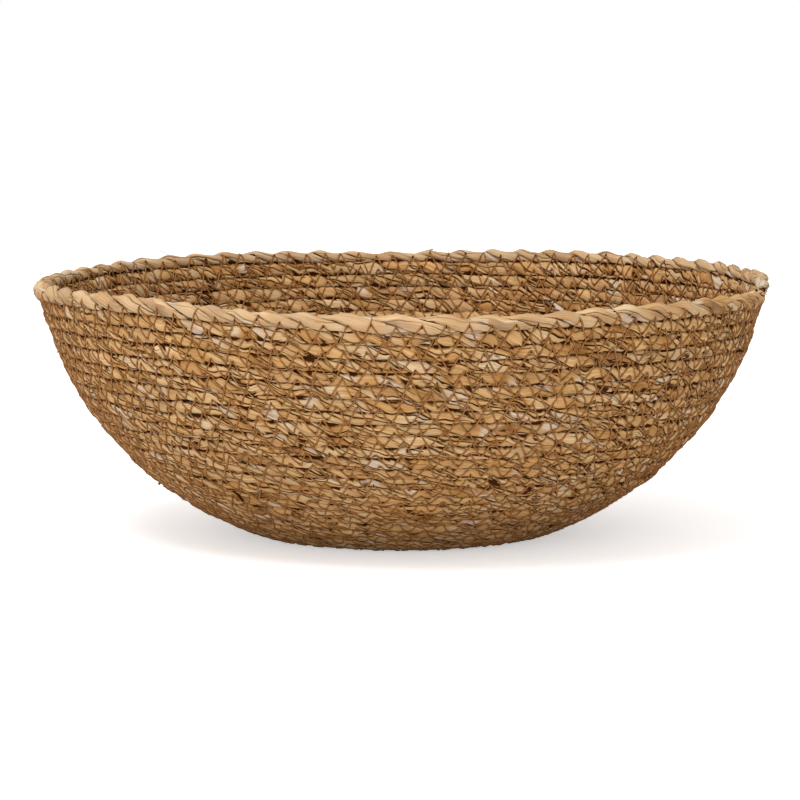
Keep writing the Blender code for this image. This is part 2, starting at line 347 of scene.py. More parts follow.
def makeLeafMaterial(streaks):
    material, tree, shader = newMaterial("twistedLeaf")
    place = addNode(tree, "ShaderNodeAttribute", attribute_name="leafPlace").outputs["Vector"]
    crease = addNode(tree, "ShaderNodeAttribute", attribute_name="leafCrease").outputs["Fac"]
    bleach = addNode(tree, "ShaderNodeAttribute", attribute_name="leafBleach").outputs["Fac"]

    def streak(along, leaf, across, detail, low, high, start=0.28, end=0.72):
        node = addNode(tree, "ShaderNodeGroup", node_tree=streaks)
        for label, value in zip(("Place", "Along", "Leaf", "Across", "Detail"), (place, along, leaf, across, detail)):
            feed(tree, node.inputs[label], value)
        return spread(tree, node.outputs["Streak"], start, end, low, high)

    # each leaf its own tone, which changes slowly along it
    ramp = tree.nodes.new("ShaderNodeValToRGB")
    stops = ramp.color_ramp.elements
    for index, (position, colour) in enumerate(leafLook["tones"]):
        stop = stops[index] if index < 2 else stops.new(position)
        stop.position, stop.color = position, (*colour, 1.0)
    feed(tree, ramp.inputs["Fac"], streak(34.0, 7.7, 0.2, 2.0, 0.0, 1.0, 0.26, 0.73))
    colour = ramp.outputs["Color"]

    # greyed stretches over several leaves, white pith that shows here and there, and brown stains
    colour = blendOf(tree, streak(10.0, 0.35, 0.0, 2.0, 0.0, 0.55, 0.5, 0.7), colour, (*leafLook["grey"], 1.0))
    pithPlace = productOf(tree, streak(42.0, 3.3, 0.3, 1.0, 0.0, 1.0, 0.625, 0.68), streak(60.0, 9.0, 6.0, 3.0, 0.2, 0.95, 0.36, 0.56))
    colour = blendOf(tree, pithPlace, colour, (*leafLook["pith"], 1.0))
    colour = blendOf(tree, streak(95.0, 5.0, 1.6, 3.0, 0.0, 0.6, 0.64, 0.78), colour, (*leafLook["stain"], 1.0))
    # paler leaves at the loose end and in stray fibres; painted light over the rim row
    colour = blendOf(tree, productOf(tree, bleach, streak(60.0, 4.1, 2.0, 2.0, 0.45, 1.0)), colour, (*leafLook["paleAndRimLit"], 1.0))

    # the seam's threads press the leaf in; painted shade in its holes and painted shadow beside the threads
    def pressedAt(side):
        gaps, holes = (
            outOf(addNode(tree, "ShaderNodeSeparateXYZ", addNode(tree, "ShaderNodeAttribute", attribute_name=name).outputs["Vector"]), side)
            for name in ("threadGap", "holeGap")
        )
        press = spread(tree, sumOf(tree, "ABSOLUTE", gaps), leafLook["pressWidth"], 0.0002, 0.0, 1.0)
        hole = spread(tree, holes, leafLook["holeWidth"], 0.0003, 0.0, 1.0)
        return press, sumOf(tree, "MULTIPLY", press, hole)

    (pressAbove, holeAbove), (pressBelow, holeBelow) = pressedAt("X"), pressedAt("Y")
    press, hole = sumOf(tree, "MAXIMUM", pressAbove, pressBelow), sumOf(tree, "MAXIMUM", holeAbove, holeBelow)

    # veins, and painted shade where one leaf laps over another, along splits, in stitch holes and beside the threads
    veins = streak(24.0, 17.0, 7.0, 3.0, 0.0, 1.0)
    hairlines = streak(48.0, 31.0, 19.0, 2.0, 0.0, 1.0)
    tone = productOf(tree, spread(tree, veins, 0.0, 1.0, 0.66, 1.15), spread(tree, hairlines, 0.0, 1.0, 0.70, 1.20))
    calm = spread(tree, bleach, 0.02, 0.12, 0.0, 0.4)
    tone = sumOf(tree, "ADD", tone, sumOf(tree, "MULTIPLY", calm, sumOf(tree, "SUBTRACT", 0.84, tone)))
    colour = scaled(tree, colour, tone)
    splits = sumOf(tree, "ABSOLUTE", streak(45.0, 5.3, 2.6, 2.0, -1.0, 1.0, 0.42, 0.58))
    splits = productOf(tree, spread(tree, splits, 0.25, 0.8, 0.62, 0.0), streak(75.0, 2.1, 0.5, 1.0, 0.0, 1.0, 0.49, 0.62))
    splits = productOf(tree, splits, spread(tree, bleach, 0.02, 0.12, 1.0, 0.10))
    depth = sumOf(tree, "MAXIMUM", crease, sumOf(tree, "MAXIMUM", sumOf(tree, "MULTIPLY", hole, 1.1), productOf(tree, press, press, 0.8)))
    depth = sumOf(tree, "MAXIMUM", depth, splits)
    # painted shade: the leaf's colour goes brown, then near black, as the mark deepens
    colour = blendOf(tree, spread(tree, depth, 0.18, 0.50, 0.0, 0.82), colour, (*leafLook["edge"], 1.0))
    colour = blendOf(tree, spread(tree, depth, 0.40, 0.60, 0.0, 0.98), colour, (*leafLook["shade"], 1.0))
    feed(tree, shader.inputs["Base Color"], colour)

    height = sumOf(tree, "ADD", sumOf(tree, "MULTIPLY", veins, 0.00035), sumOf(tree, "MULTIPLY", hairlines, 0.00018))
    pressed = sumOf(tree, "ADD", sumOf(tree, "MULTIPLY", press, leafLook["press"]), sumOf(tree, "MULTIPLY", hole, leafLook["hole"]))
    height = sumOf(tree, "SUBTRACT", height, sumOf(tree, "ADD", pressed, sumOf(tree, "MULTIPLY", splits, leafLook["split"])))
    bump = addNode(tree, "ShaderNodeBump", 0.7, 1.0)
    feed(tree, bump.inputs["Height"], height)
    feed(tree, shader.inputs["Normal"], bump.outputs["Normal"])
    feed(tree, shader.inputs["Roughness"], spread(tree, veins, 0.0, 1.0, 0.58, 0.78))
    shader.inputs["Specular IOR Level"].default_value = 0.04
    layOut(tree)
    return material


def makeThreadMaterial(streaks):
    material, tree, shader = newMaterial("brownSeamThread")
    place = addNode(tree, "ShaderNodeAttribute", attribute_name="threadPlace").outputs["Vector"]
    fuzz = addNode(tree, "ShaderNodeGroup", node_tree=streaks)
    for label, value in (("Place", place), ("Along", 400.0), ("Leaf", 1.5), ("Across", 1.5), ("Detail", 2.0)):
        feed(tree, fuzz.inputs[label], value)
    share = spread(tree, fuzz.outputs["Streak"], 0.3, 0.72, 0.0, 1.0)
    colour = blendOf(tree, share, (*threadLook["dark"], 1.0), (*threadLook["light"], 1.0))
    feed(tree, shader.inputs["Base Color"], colour)
    shader.inputs["Roughness"].default_value = threadLook["roughness"]
    shader.inputs["Specular IOR Level"].default_value = 0.15
    bump = addNode(tree, "ShaderNodeBump", 0.5, 0.0002)
    feed(tree, bump.inputs["Height"], fuzz.outputs["Streak"])
    feed(tree, shader.inputs["Normal"], bump.outputs["Normal"])
    layOut(tree)
    return material


streakGroup = makeStreakGroup()
leafMaterial = makeLeafMaterial(streakGroup)
threadMaterial = makeThreadMaterial(streakGroup)


# ---- stitches: one zigzag over every groove, its holes named by their count from the middle of the floor

seamSize = {
    "stitch": 0.00580,    # along the groove, from one hole to the next
    "swing": 0.0053,      # from the middle of the zigzag to a hole
    "rimSwing": 1.12,     # the last zigzag is so much wider
    "rimUneven": 0.28,
    "sag": 0.0013,        # the zigzag's middle, below the groove
    "uneven": 0.21,       # shares by which holes stray
    "drift": 1.3,         # stitches by which the seam runs ahead or behind, so that rows fall out of step
    "driftHoles": 45.0,
    "thread": 0.00043,    # radius
    "runs": 8,            # straight runs in a stitch
    "dive": 0.0009,       # into the rope at a hole
    "sides": 5,
    "firstRow": 0.12,
}

grooveRows = np.linspace(startRow - 1.0, 0.0, 24001)  # a groove is named by the row above it
groovePoints = (wanderingRope(grooveRows)[0] + wanderingRope(grooveRows + 1.0)[0]) / 2
grooveStitches = np.concatenate([[0.0], np.cumsum(np.linalg.norm(np.diff(groovePoints, axis=0), axis=1))]) / seamSize["stitch"]
holes = np.arange(int(grooveStitches[-1]) + 1)
seamDice = np.random.default_rng(basketShape["seed"] + 30)
holePlaces = holes + seamDice.uniform(-1.0, 1.0, len(holes)) * seamSize["uneven"]
holePlaces += seamSize["drift"] * smoothNoise(holes / seamSize["driftHoles"], basketShape["seed"] + 31)
onRimSeam = np.interp(holes, grooveStitches, grooveRows) < 1.0
holeSwings = 1.0 + seamDice.uniform(-1.0, 1.0, len(holes)) * np.where(onRimSeam, seamSize["rimUneven"], seamSize["uneven"])
holeSwings *= seamSize["swing"] * np.where(onRimSeam, seamSize["rimSwing"], 1.0)
holeHeights = np.where(holes % 2 == 0, 1.0, -1.0) * holeSwings - seamSize["sag"]


def stitchAt(row):  # at the groove under a row: how high the thread is above the groove, and how far the nearest hole is
    place = np.interp(-np.asarray(row), -grooveRows, grooveStitches)
    count = np.interp(place, holePlaces, holes)
    return np.interp(count, holes, holeHeights), np.abs(count - np.round(count)) * seamSize["stitch"]


# ---- twisted plies of the rope

plySize = {
    "step": 0.0016,        # along the rope
    "rimStep": 0.0010,
    "lay": 0.040,          # rope for one full turn of the twist
    "slack": 1.25,         # radians by which the twist runs ahead or behind
    "slackLength": 0.085,
    "untwist": -120.0,     # radians a metre by which a ply's leaves turn against the rope's lay
    "reach": 0.0016,       # from the rope's middle to the ply's
    "thickness": 0.00280,  # half of the ply, away from the rope's middle
    "width": 0.00450,      # half of the ply, the other way
    "stoutness": 0.10,     # share by which the rope swells and thins
    "stoutLength": 0.028,
    "face": 0.0038,        # where the rope's outer and inner faces are pressed flat
    "lapDark": 1.0,
    "fill": 0.0041,        # room past which the rope spreads to fill it
    "lowSlits": 0.55,      # painted shade between the rows low on the wall, against that high on it
    "rim": {"thickness": 0.0031, "width": 0.0040, "face": 0.0056, "lapDark": 0.55, "fill": 0.0052},  # the rim row is rounder, with less painted shade in its laps
    "overlap": 1.18,       # rows press a little into one another
    "push": 1.3,           # how much a stouter stretch pushes its neighbour's edge away
    "ripple": 0.00042,     # of the line where two rows meet
    "rippleLength": 0.0085,
    "rimRoom": 0.0052,
    "notch": 0.42,         # dips between the plies along the top of the rim
    "wander": 0.95,        # radians by which the leaves' edges stray, so that they narrow and widen
    "pinch": 0.00055,      # of the rope at a stitch hole
    "pinchWidth": 0.0022,
    "tailLength": 0.030,   # the tapered end on the rim
    "tailTip": 0.55,
    "tailDrop": 0.0034,
    "tailOut": 0.0009,
    "leaves": (0.40, 0.26, 0.34),      # shares of the ply's round that its leaves take
    # across a leaf: place, height, painted shade in the crease where it laps
    "lap": ((0.0, 0.76, 1.0), (0.07, 0.93, 0.55), (0.18, 1.0, 0.04), (0.50, 1.03, 0.0), (0.84, 1.02, 0.0), (0.97, 1.0, 0.3)),
}


def twistAt(length):  # how far the first ply has turned round the rope
    slack = plySize["slack"] * smoothNoise(length / plySize["slackLength"], basketShape["seed"] + 3)
    return math.tau * length / plySize["lay"] + slack


def stoutnessAt(length):
    return 1.0 + plySize["stoutness"] * smoothNoise(length / plySize["stoutLength"], basketShape["seed"] + 4)


def edgeAt(row):  # how far up and down its row the rope would reach if nothing pressed on it
    length = ropeLengthAt(row)
    twist = twistAt(length)
    ellipse = np.hypot(plySize["thickness"] * np.sin(twist), plySize["width"] * np.cos(twist))
    return stoutnessAt(length) * (plySize["reach"] * np.abs(np.sin(twist)) + ellipse)


def borderAt(row):  # where a row meets the row above it, measured up from halfway between the two
    above = np.maximum(row - 1.0, 0.0)
    ripple = smoothNoise(ropeLengthAt(row) / plySize["rippleLength"], basketShape["seed"] + 6)
    return plySize["push"] * (edgeAt(row) - edgeAt(above)) / 2 + plySize["ripple"] * ripple


def sectionObject(name, shares):  # the ply's section: leaves wrapped round it, each lapping over the next
    corners, start = [], 0.0
    for index, share in enumerate(shares):
        corners += [(start + across * share, height, index, across, dark) for across, height, dark in plySize["lap"]]
        start += share
    around, height, leaf, across, crease = np.array(corners).T
    angle = math.tau * around / start
    points = np.stack([np.cos(angle), np.sin(angle), np.zeros_like(angle)], axis=1) * 0.001
    labels = {"around": angle, "lap": height, "leaf": leaf, "across": across, "leafCrease": crease}
    return pathObject(name, points, labels, closed=True)


def makePlyTree():
    tree, given, result = newTree(
        "twistedPly", "GeometryNodeTree",
        [
            ("Rope", "NodeSocketGeometry", None), ("Section", "NodeSocketObject", None), ("Phase", "NodeSocketFloat", 0.0),
            ("Reach", "NodeSocketFloat", 0.0015), ("Untwist", "NodeSocketFloat", -120.0), ("Wander", "NodeSocketFloat", 0.9),
            ("Leaves", "NodeSocketFloat", 3.0), ("Pinch", "NodeSocketFloat", 0.0005), ("Pinch Width", "NodeSocketFloat", 0.002),
            ("Seed", "NodeSocketFloat", 0.0), ("Leaf", "NodeSocketMaterial", None),
        ],
        [("Ply", "NodeSocketGeometry")],
    )
    line = outOf(addNode(tree, "GeometryNodeMeshToCurve", given["Rope"]))
    line = storeAttribute(tree, line, "middle", outOf(addNode(tree, "GeometryNodeInputPosition")), "FLOAT_VECTOR")
    section = outOf(addNode(tree, "GeometryNodeObjectInfo", given["Section"]), "Geometry")
    section = outOf(addNode(tree, "GeometryNodeMeshToCurve", section))
    tube = outOf(addNode(tree, "GeometryNodeCurveToMesh", line, section, 1.0, True))

    along, around, lap, leaf = (readAttribute(tree, name) for name in ("along", "around", "lap", "leaf"))
    roomUp, roomDown, stout, twist = (readAttribute(tree, name) for name in ("roomUp", "roomDown", "stout", "twist"))
    up, out, middle = (readAttribute(tree, name, "FLOAT_VECTOR") for name in ("wallUp", "wallOut", "middle"))

    def noise(scale, leafScale, offset, low, high, detail=1.0, leaf=leaf):
        across = sumOf(tree, "ADD", sumOf(tree, "MULTIPLY", leaf, leafScale), sumOf(tree, "ADD", given["Seed"], offset))
        place = vectorFrom(tree, sumOf(tree, "MULTIPLY", along, scale), across, 0.0)
        return spread(tree, outOf(addNode(tree, "ShaderNodeTexNoise", place, 1.0, detail)), 0.27, 0.73, low, high)

    # the leaves creep round the ply, and lap over one another by more or less
    creep = sumOf(tree, "ADD", sumOf(tree, "MULTIPLY", along, given["Untwist"]), noise(15.0, 0.0, 11.0, -1.1, 1.1, 2.0))
    nextLeaf = sumOf(tree, "MODULO", sumOf(tree, "ADD", leaf, 1.0), given["Leaves"])
    startEdge, endEdge = (noise(48.0, 3.7, 47.0, -1.0, 1.0, 2.0, edge) for edge in (leaf, nextLeaf))
    across = readAttribute(tree, "across")
    stray = sumOf(tree, "ADD", startEdge, sumOf(tree, "MULTIPLY", sumOf(tree, "SUBTRACT", endEdge, startEdge), across))
    turned = sumOf(tree, "ADD", sumOf(tree, "ADD", around, creep), sumOf(tree, "MULTIPLY", stray, given["Wander"]))
    depth = noise(26.0, 3.1, 5.0, 0.1, 1.5)
    lapped = sumOf(tree, "ADD", 1.0, sumOf(tree, "MULTIPLY", sumOf(tree, "SUBTRACT", lap, 1.0), depth))
    ruffled = productOf(tree, lapped, noise(42.0, 5.7, 3.0, 0.92, 1.08, 2.0), stout)

    thickness, width, face, fill, notch = (readAttribute(tree, name) for name in ("thickness", "width", "face", "fill", "notch"))
    thick = productOf(tree, thickness, noise(36.0, 0.0, 23.0, 0.90, 1.10), sumOf(tree, "COSINE", turned))
    wide = productOf(tree, width, noise(33.0, 0.0, 31.0, 0.92, 1.06), sumOf(tree, "SINE", turned))
    leaving = sumOf(tree, "ADD", sumOf(tree, "MULTIPLY", given["Reach"], stout), sumOf(tree, "MULTIPLY", thick, ruffled))
    leaving = sumOf(tree, "MAXIMUM", leaving, 0.00004)
    crossing = sumOf(tree, "MULTIPLY", wide, ruffled)

    # turned into the wall's own directions, pressed flat inside and outside and between the rows above and below
    angle = sumOf(tree, "ADD", twist, given["Phase"])
    cosine, sine = sumOf(tree, "COSINE", angle), sumOf(tree, "SINE", angle)
    outward = sumOf(tree, "SUBTRACT", productOf(tree, leaving, cosine), productOf(tree, crossing, sine))
    upward = sumOf(tree, "ADD", productOf(tree, leaving, sine), productOf(tree, crossing, cosine))

    def pressed(value, room, hardness):
        tight = sumOf(tree, "POWER", sumOf(tree, "ABSOLUTE", sumOf(tree, "DIVIDE", value, room)), hardness)
        return sumOf(tree, "DIVIDE", value, sumOf(tree, "POWER", sumOf(tree, "ADD", tight, 1.0), 1.0 / hardness))

    isUp = sumOf(tree, "GREATER_THAN", upward, 0.0)
    room = sumOf(tree, "ADD", productOf(tree, roomUp, isUp), productOf(tree, roomDown, sumOf(tree, "SUBTRACT", 1.0, isUp)))
    outward = pressed(outward, face, 5.0)
    upward = productOf(tree, upward, sumOf(tree, "MAXIMUM", sumOf(tree, "DIVIDE", room, fill), 1.0))
    dip = productOf(tree, notch, isUp, sumOf(tree, "POWER", cosine, 2.0))
    upward = productOf(tree, pressed(upward, room, 7.0), sumOf(tree, "SUBTRACT", 1.0, dip))
    # painted shade along the line where this row meets the next, broken up along the rope and weaker low on the wall
    border = spread(tree, sumOf(tree, "DIVIDE", sumOf(tree, "ABSOLUTE", upward), room), 0.76, 0.85, 0.0, 1.0)
    onTop = sumOf(tree, "MULTIPLY", sumOf(tree, "GREATER_THAN", notch, 0.001), isUp)
    broken = sumOf(tree, "MAXIMUM", noise(105.0, 0.0, 61.0, -0.42, 2.1, 2.0), 0.0)
    broken = sumOf(tree, "MULTIPLY", broken, noise(19.0, 0.0, 83.0, 0.30, 1.38, 1.0))
    border = productOf(tree, border, sumOf(tree, "SUBTRACT", 1.0, onTop), broken, readAttribute(tree, "slits"))

    # pinched where the seam's thread goes through
    above, below = (
        (sumOf(tree, "SUBTRACT", readAttribute(tree, f"thread{side}"), upward), readAttribute(tree, f"hole{side}")) for side in ("Above", "Below")
    )

    def near(gap, hole):
        far = sumOf(tree, "ADD", sumOf(tree, "POWER", gap, 2.0), sumOf(tree, "POWER", hole, 2.0))
        return sumOf(tree, "EXPONENT", sumOf(tree, "DIVIDE", far, productOf(tree, given["Pinch Width"], given["Pinch Width"], -1.0)))

    pinch = productOf(tree, sumOf(tree, "MAXIMUM", near(*above), near(*below)), given["Pinch"], sumOf(tree, "SIGN", outward))
    outward = sumOf(tree, "SUBTRACT", outward, pinch)
    place = vectorOf(tree, "ADD", middle, scaled(tree, out, outward))
    place = vectorOf(tree, "ADD", place, scaled(tree, up, upward))
    parts = addNode(tree, "ShaderNodeSeparateXYZ", place)
    grounded = vectorFrom(tree, outOf(parts, "X"), outOf(parts, "Y"), sumOf(tree, "MAXIMUM", outOf(parts, "Z"), 0.0006))
    tube = storeAttribute(tree, tube, "threadGap", vectorFrom(tree, above[0], below[0], 0.0), "FLOAT_VECTOR")
    tube = storeAttribute(tree, tube, "holeGap", vectorFrom(tree, above[1], below[1], 0.0), "FLOAT_VECTOR")
    tube = outOf(addNode(tree, "GeometryNodeSetPosition", tube, None, grounded))

    # where on its leaf a point is, for the finish, and its painted shade: in the creases where leaves lap, where the
    # plies meet and along the borders between rows
    leafPlace = vectorFrom(tree, sumOf(tree, "ADD", along, given["Seed"]), leaf, across)
    tube = storeAttribute(tree, tube, "leafPlace", leafPlace, "FLOAT_VECTOR")
    dark = productOf(tree, readAttribute(tree, "leafCrease"), spread(tree, depth, 0.1, 1.1, 0.2, 1.0), readAttribute(tree, "lapDark"))
    # painted shade where the plies meet near the rope's middle
    inside = sumOf(tree, "MULTIPLY", spread(tree, leaving, 0.0001, 0.0006, 1.0, 0.0), noise(70.0, 0.0, 71.0, -0.05, 0.9, 2.0))
    dark = sumOf(tree, "MAXIMUM", sumOf(tree, "MAXIMUM", dark, inside), border)
    tube = storeAttribute(tree, tube, "leafCrease", dark)
    return finishTree(tree, tube, given["Leaf"], result["Ply"])


def ropePath(name, firstRow, lastRow, step):  # the rope's line through a zone, with what its plies need to know
    firstLength, lastLength = ropeLengthAt(min(lastRow, startRow)), ropeLengthAt(firstRow)
    lengths = np.linspace(firstLength, lastLength, max(int(round((lastLength - firstLength) / step)), 8) + 1)
    rows = rowAt(lengths)
    if lastRow > startRow:  # closer together round the fold
        rows = np.concatenate([np.linspace(startRow, startRow - 0.8, 33), rows[rows < startRow - 0.82]])
        lengths = ropeLengthAt(rows)
    middle, up, out = wanderingRope(rows)
    pitch = basketShape["rowPitch"]
    here = driftAt(rows)[0]
    above = driftAt(np.maximum(rows - 1.0, 0.0))[0]
    below = driftAt(np.minimum(rows + 1.0, startRow))[0]
    threadAbove, holeAbove = stitchAt(rows - 1.0)
    threadBelow, holeBelow = stitchAt(rows)
    threadAbove = np.where(rows - 1.0 > seamSize["firstRow"], threadAbove + (pitch + above - here) / 2, 1.0)
    sewn = (rows > seamSize["firstRow"]) & (rows < startRow - 1.0)
    threadBelow = np.where(sewn, threadBelow - (pitch + here - below) / 2, -1.0)
    roomUp = ((pitch + above - here) / 2 + borderAt(rows)) * plySize["overlap"]
    onRim = np.clip((1.05 - rows) / 0.05, 0.0, 1.0)
    roomUp = roomUp + (plySize["rimRoom"] - roomUp) * onRim
    rimSized = {label: plySize[label] + (plySize["rim"][label] - plySize[label]) * onRim for label in plySize["rim"]}
    roomDown = ((pitch + here - below) / 2 - borderAt(np.minimum(rows + 1.0, startRow))) * plySize["overlap"]
    toMiddle = np.maximum(profileLength - rows * pitch, basketShape["startRadius"])
    toNext = profileLength - (rows - 1.0) * pitch - toMiddle
    roomDown = np.where(rows > startRow - 1.0, np.minimum(roomDown, toMiddle - 0.0003), roomDown)
    roomUp = np.where(rows > startRow - 0.6, np.minimum(roomUp, 0.6 * toNext), roomUp)
    toTip = np.clip((fineLengths[-1] - lengths) / plySize["tailLength"], 0.0, 1.0)
    full = plySize["tailTip"] + (1.0 - plySize["tailTip"]) * np.sqrt(toTip)
    full = full * (0.6 + 0.4 * np.sqrt(np.clip(lengths / 0.012, 0.0, 1.0)))
    sunk = ((1.0 - toTip) ** 1.5)[:, None]
    middle = middle - up * plySize["tailDrop"] * sunk + out * plySize["tailOut"] * sunk
    fromTip = fineLengths[-1] - lengths
    # paler at the loose end's tip; on the rim row, painted light for the top light it catches
    bleach = np.clip(1.0 - fromTip / 0.030, 0.0, 1.0) + 0.34 * np.clip(1.0 - rows, 0.0, 0.2) * 5.0
    return pathObject(name, middle, {
        "wallUp": up, "wallOut": out, "along": lengths, "roomUp": roomUp, "roomDown": roomDown,
        "twist": twistAt(lengths), "stout": full * stoutnessAt(lengths), "leafBleach": np.clip(bleach, 0.0, 1.0),
        "slits": np.interp(rows, (11.0, 20.0), (1.0, plySize["lowSlits"])),
        "notch": plySize["notch"] * onRim, "threadAbove": threadAbove, "threadBelow": threadBelow,
        "holeAbove": holeAbove, "holeBelow": holeBelow, **rimSized,
    })


plyTree = makePlyTree()
plySection = sectionObject("plySection", plySize["leaves"])
ropePieces = {}
for zone, firstRow, lastRow, node in zones:
    for ply, phase, seed in (("A", 0.0, 0.0), ("B", math.pi, 173.0)):
        name = f"{zone}Ply{ply}"
        holder = ropePath(name, firstRow, lastRow, plySize["rimStep"] if zone == "rim" else plySize["step"])
        ropePieces[name] = grown(holder, plyTree, {
            "Section": plySection, "Phase": phase, "Reach": plySize["reach"], "Untwist": plySize["untwist"],
            "Wander": plySize["wander"], "Leaves": float(len(plySize["leaves"])), "Pinch": plySize["pinch"],
            "Pinch Width": plySize["pinchWidth"], "Seed": seed, "Leaf": leafMaterial,
        })
        putIn(holder, "leaf_rope", node)
bpy.data.objects.remove(plySection)
print("plies:", {name: 2 * len(piece.data.polygons) for name, piece in ropePieces.items()})


# ---- the seam: a zigzag over every groove, needle thread outside and bobbin thread inside

def makeSeamTree():
    tree, given, result = newTree(
        "zigzagSeam", "GeometryNodeTree",
        [
            ("Groove", "NodeSocketGeometry", None), ("Rope", "NodeSocketCollection", None), ("Thread", "NodeSocketFloat", 0.0004),
            ("Dive", "NodeSocketFloat", 0.001), ("Sides", "NodeSocketInt", 6), ("Cotton", "NodeSocketMaterial", None),
        ],
        [("Seam", "NodeSocketGeometry")],
    )
    rope = addNode(tree, "GeometryNodeCollectionInfo", given["Rope"])
    ropeMesh = outOf(addNode(tree, "GeometryNodeRealizeInstances", outOf(rope)))
    line = outOf(addNode(tree, "GeometryNodeMeshToCurve", given["Groove"]))
    place, climb, toHole = (readAttribute(tree, name) for name in ("stitchPlace", "climb", "toHole"))
    up, out = (readAttribute(tree, name, "FLOAT_VECTOR") for name in ("wallUp", "grooveOut"))
    spot = vectorOf(tree, "ADD", outOf(addNode(tree, "GeometryNodeInputPosition")), scaled(tree, up, climb))
    line = storeAttribute(tree, line, "spot", spot, "FLOAT_VECTOR")
    spot = readAttribute(tree, "spot", "FLOAT_VECTOR")

    # laid on the rope: the thread bridges its hollows and goes in at every hole
    ray = addNode(tree, "GeometryNodeRaycast")
    feed(tree, ray.inputs["Target Geometry"], ropeMesh)
    feed(tree, ray.inputs["Source Position"], vectorOf(tree, "ADD", spot, scaled(tree, out, 0.008)))
    feed(tree, ray.inputs["Ray Direction"], scaled(tree, out, -1.0))
    feed(tree, ray.inputs["Ray Length"], 0.0075)
    struck = sumOf(tree, "SUBTRACT", 0.008, ray.outputs["Hit Distance"])
    height = addNode(tree, "GeometryNodeSwitch", ray.outputs["Is Hit"], 0.0024, struck, input_type="FLOAT")
    line = storeAttribute(tree, line, "height", outOf(height))
    height = readAttribute(tree, "height")
    smooth = outOf(addNode(tree, "GeometryNodeBlurAttribute", height, 3, 1.0))
    eased = sumOf(tree, "ADD", sumOf(tree, "MAXIMUM", smooth, height), sumOf(tree, "MULTIPLY", given["Thread"], 0.6))
    nearHole = spread(tree, toHole, 0.0, 0.0005, 1.0, 0.0)
    eased = sumOf(tree, "SUBTRACT", eased, sumOf(tree, "MULTIPLY", nearHole, given["Dive"]))
    line = outOf(addNode(tree, "GeometryNodeSetPosition", line, None, vectorOf(tree, "ADD", spot, scaled(tree, out, eased))))
    line = storeAttribute(tree, line, "along", sumOf(tree, "MULTIPLY", place, 0.0113))
    ring = outOf(addNode(tree, "GeometryNodeCurvePrimitiveCircle", given["Sides"], given["Thread"]))
    turn = productOf(tree, sumOf(tree, "DIVIDE", outOf(addNode(tree, "GeometryNodeInputIndex")), given["Sides"]), math.tau)
    ring = storeAttribute(tree, ring, "around", turn)
    thick = sumOf(tree, "ADD", 1.0, sumOf(tree, "MULTIPLY", nearHole, 0.3))
    tube = outOf(addNode(tree, "GeometryNodeCurveToMesh", line, ring, thick, True))
    along, around = readAttribute(tree, "along"), readAttribute(tree, "around")
    threadPlace = vectorFrom(tree, along, sumOf(tree, "COSINE", around), sumOf(tree, "SINE", around))
    tube = storeAttribute(tree, tube, "threadPlace", threadPlace, "FLOAT_VECTOR")
    return finishTree(tree, aboveTable(tree, tube), given["Cotton"], result["Seam"])


def groovePath(name, firstRow, lastRow, side):  # the groove under each row, at every run of every stitch
    first = math.ceil(np.interp(-min(lastRow, startRow - 1.2), -grooveRows, grooveStitches))
    last = math.floor(np.interp(-firstRow, -grooveRows, grooveStitches))
    counts = np.arange(first * seamSize["runs"], last * seamSize["runs"] + 1) / seamSize["runs"]
    at = np.interp(np.interp(counts, holes, holePlaces), grooveStitches, grooveRows)
    above, _, outAbove = wanderingRope(at)
    below, _, outBelow = wanderingRope(at + 1.0)
    up, out = above - below, outAbove + outBelow
    up /= np.linalg.norm(up, axis=1)[:, None]
    out /= np.linalg.norm(out, axis=1)[:, None]
    return pathObject(name, (above + below) / 2, {
        "wallUp": up, "grooveOut": out * side, "stitchPlace": counts, "climb": np.interp(counts, holes, holeHeights),
        "toHole": np.abs(counts - np.round(counts)) * seamSize["stitch"],
    })


seamTree = makeSeamTree()
seamZones = (
    ("rim", seamSize["firstRow"], 1.0, ("rim", "shoulder")),
    ("shoulder", 1.0, 7.0, ("rim", "shoulder", "upperBelly")),
    ("upperBelly", 7.0, 11.0, ("shoulder", "upperBelly", "lowerBelly")),
    ("lowerBelly", 11.0, 15.0, ("upperBelly", "lowerBelly", "lowerWall")),
    ("lowerWall", 15.0, 20.0, ("lowerBelly", "lowerWall", "heel")),
    ("heel", 20.0, 24.5, ("lowerWall", "heel", "floor")),
    ("floor", 24.5, 99.0, ("heel", "floor")),
)
seamPieces = {}
for zone, firstRow, lastRow, ropeZones in seamZones:
    crossed = crossedCollection(f"{zone}Crossed", [ropePieces[f"{label}Ply{ply}"] for label in ropeZones for ply in "AB"])
    for thread, side in (("Needle", 1.0), ("Bobbin", -1.0)):
        name = f"{zone}{thread}Thread"
        holder = groovePath(name, firstRow, lastRow, side)
        seamPieces[name] = grown(holder, seamTree, {
            "Rope": crossed, "Thread": seamSize["thread"], "Dive": seamSize["dive"], "Sides": seamSize["sides"],
            "Cotton": threadMaterial,
        })
        replaced = {"rimNeedleThread": ("outer_rim_seam",), "rimBobbinThread": ("inner_rim_seam",)}.get(name, ())
        putIn(holder, "seam_thread", *replaced)
    bpy.data.collections.remove(crossed)
print("seams:", {name: 2 * len(piece.data.polygons) for name, piece in seamPieces.items()})


# ---- stray fibres and slivers that stand off the leaves

fibreSize = {
    "hairs": {"Density": 650.0, "Shortest": 0.0025, "Longest": 0.0085, "Broad": 0.022, "Thin": 0.022, "Lift": 0.42, "Seed": 5},
    "slivers": {"Density": 1900.0, "Shortest": 0.0022, "Longest": 0.0085, "Broad": 0.085, "Thin": 0.014, "Lift": 0.12, "Seed": 19},
}


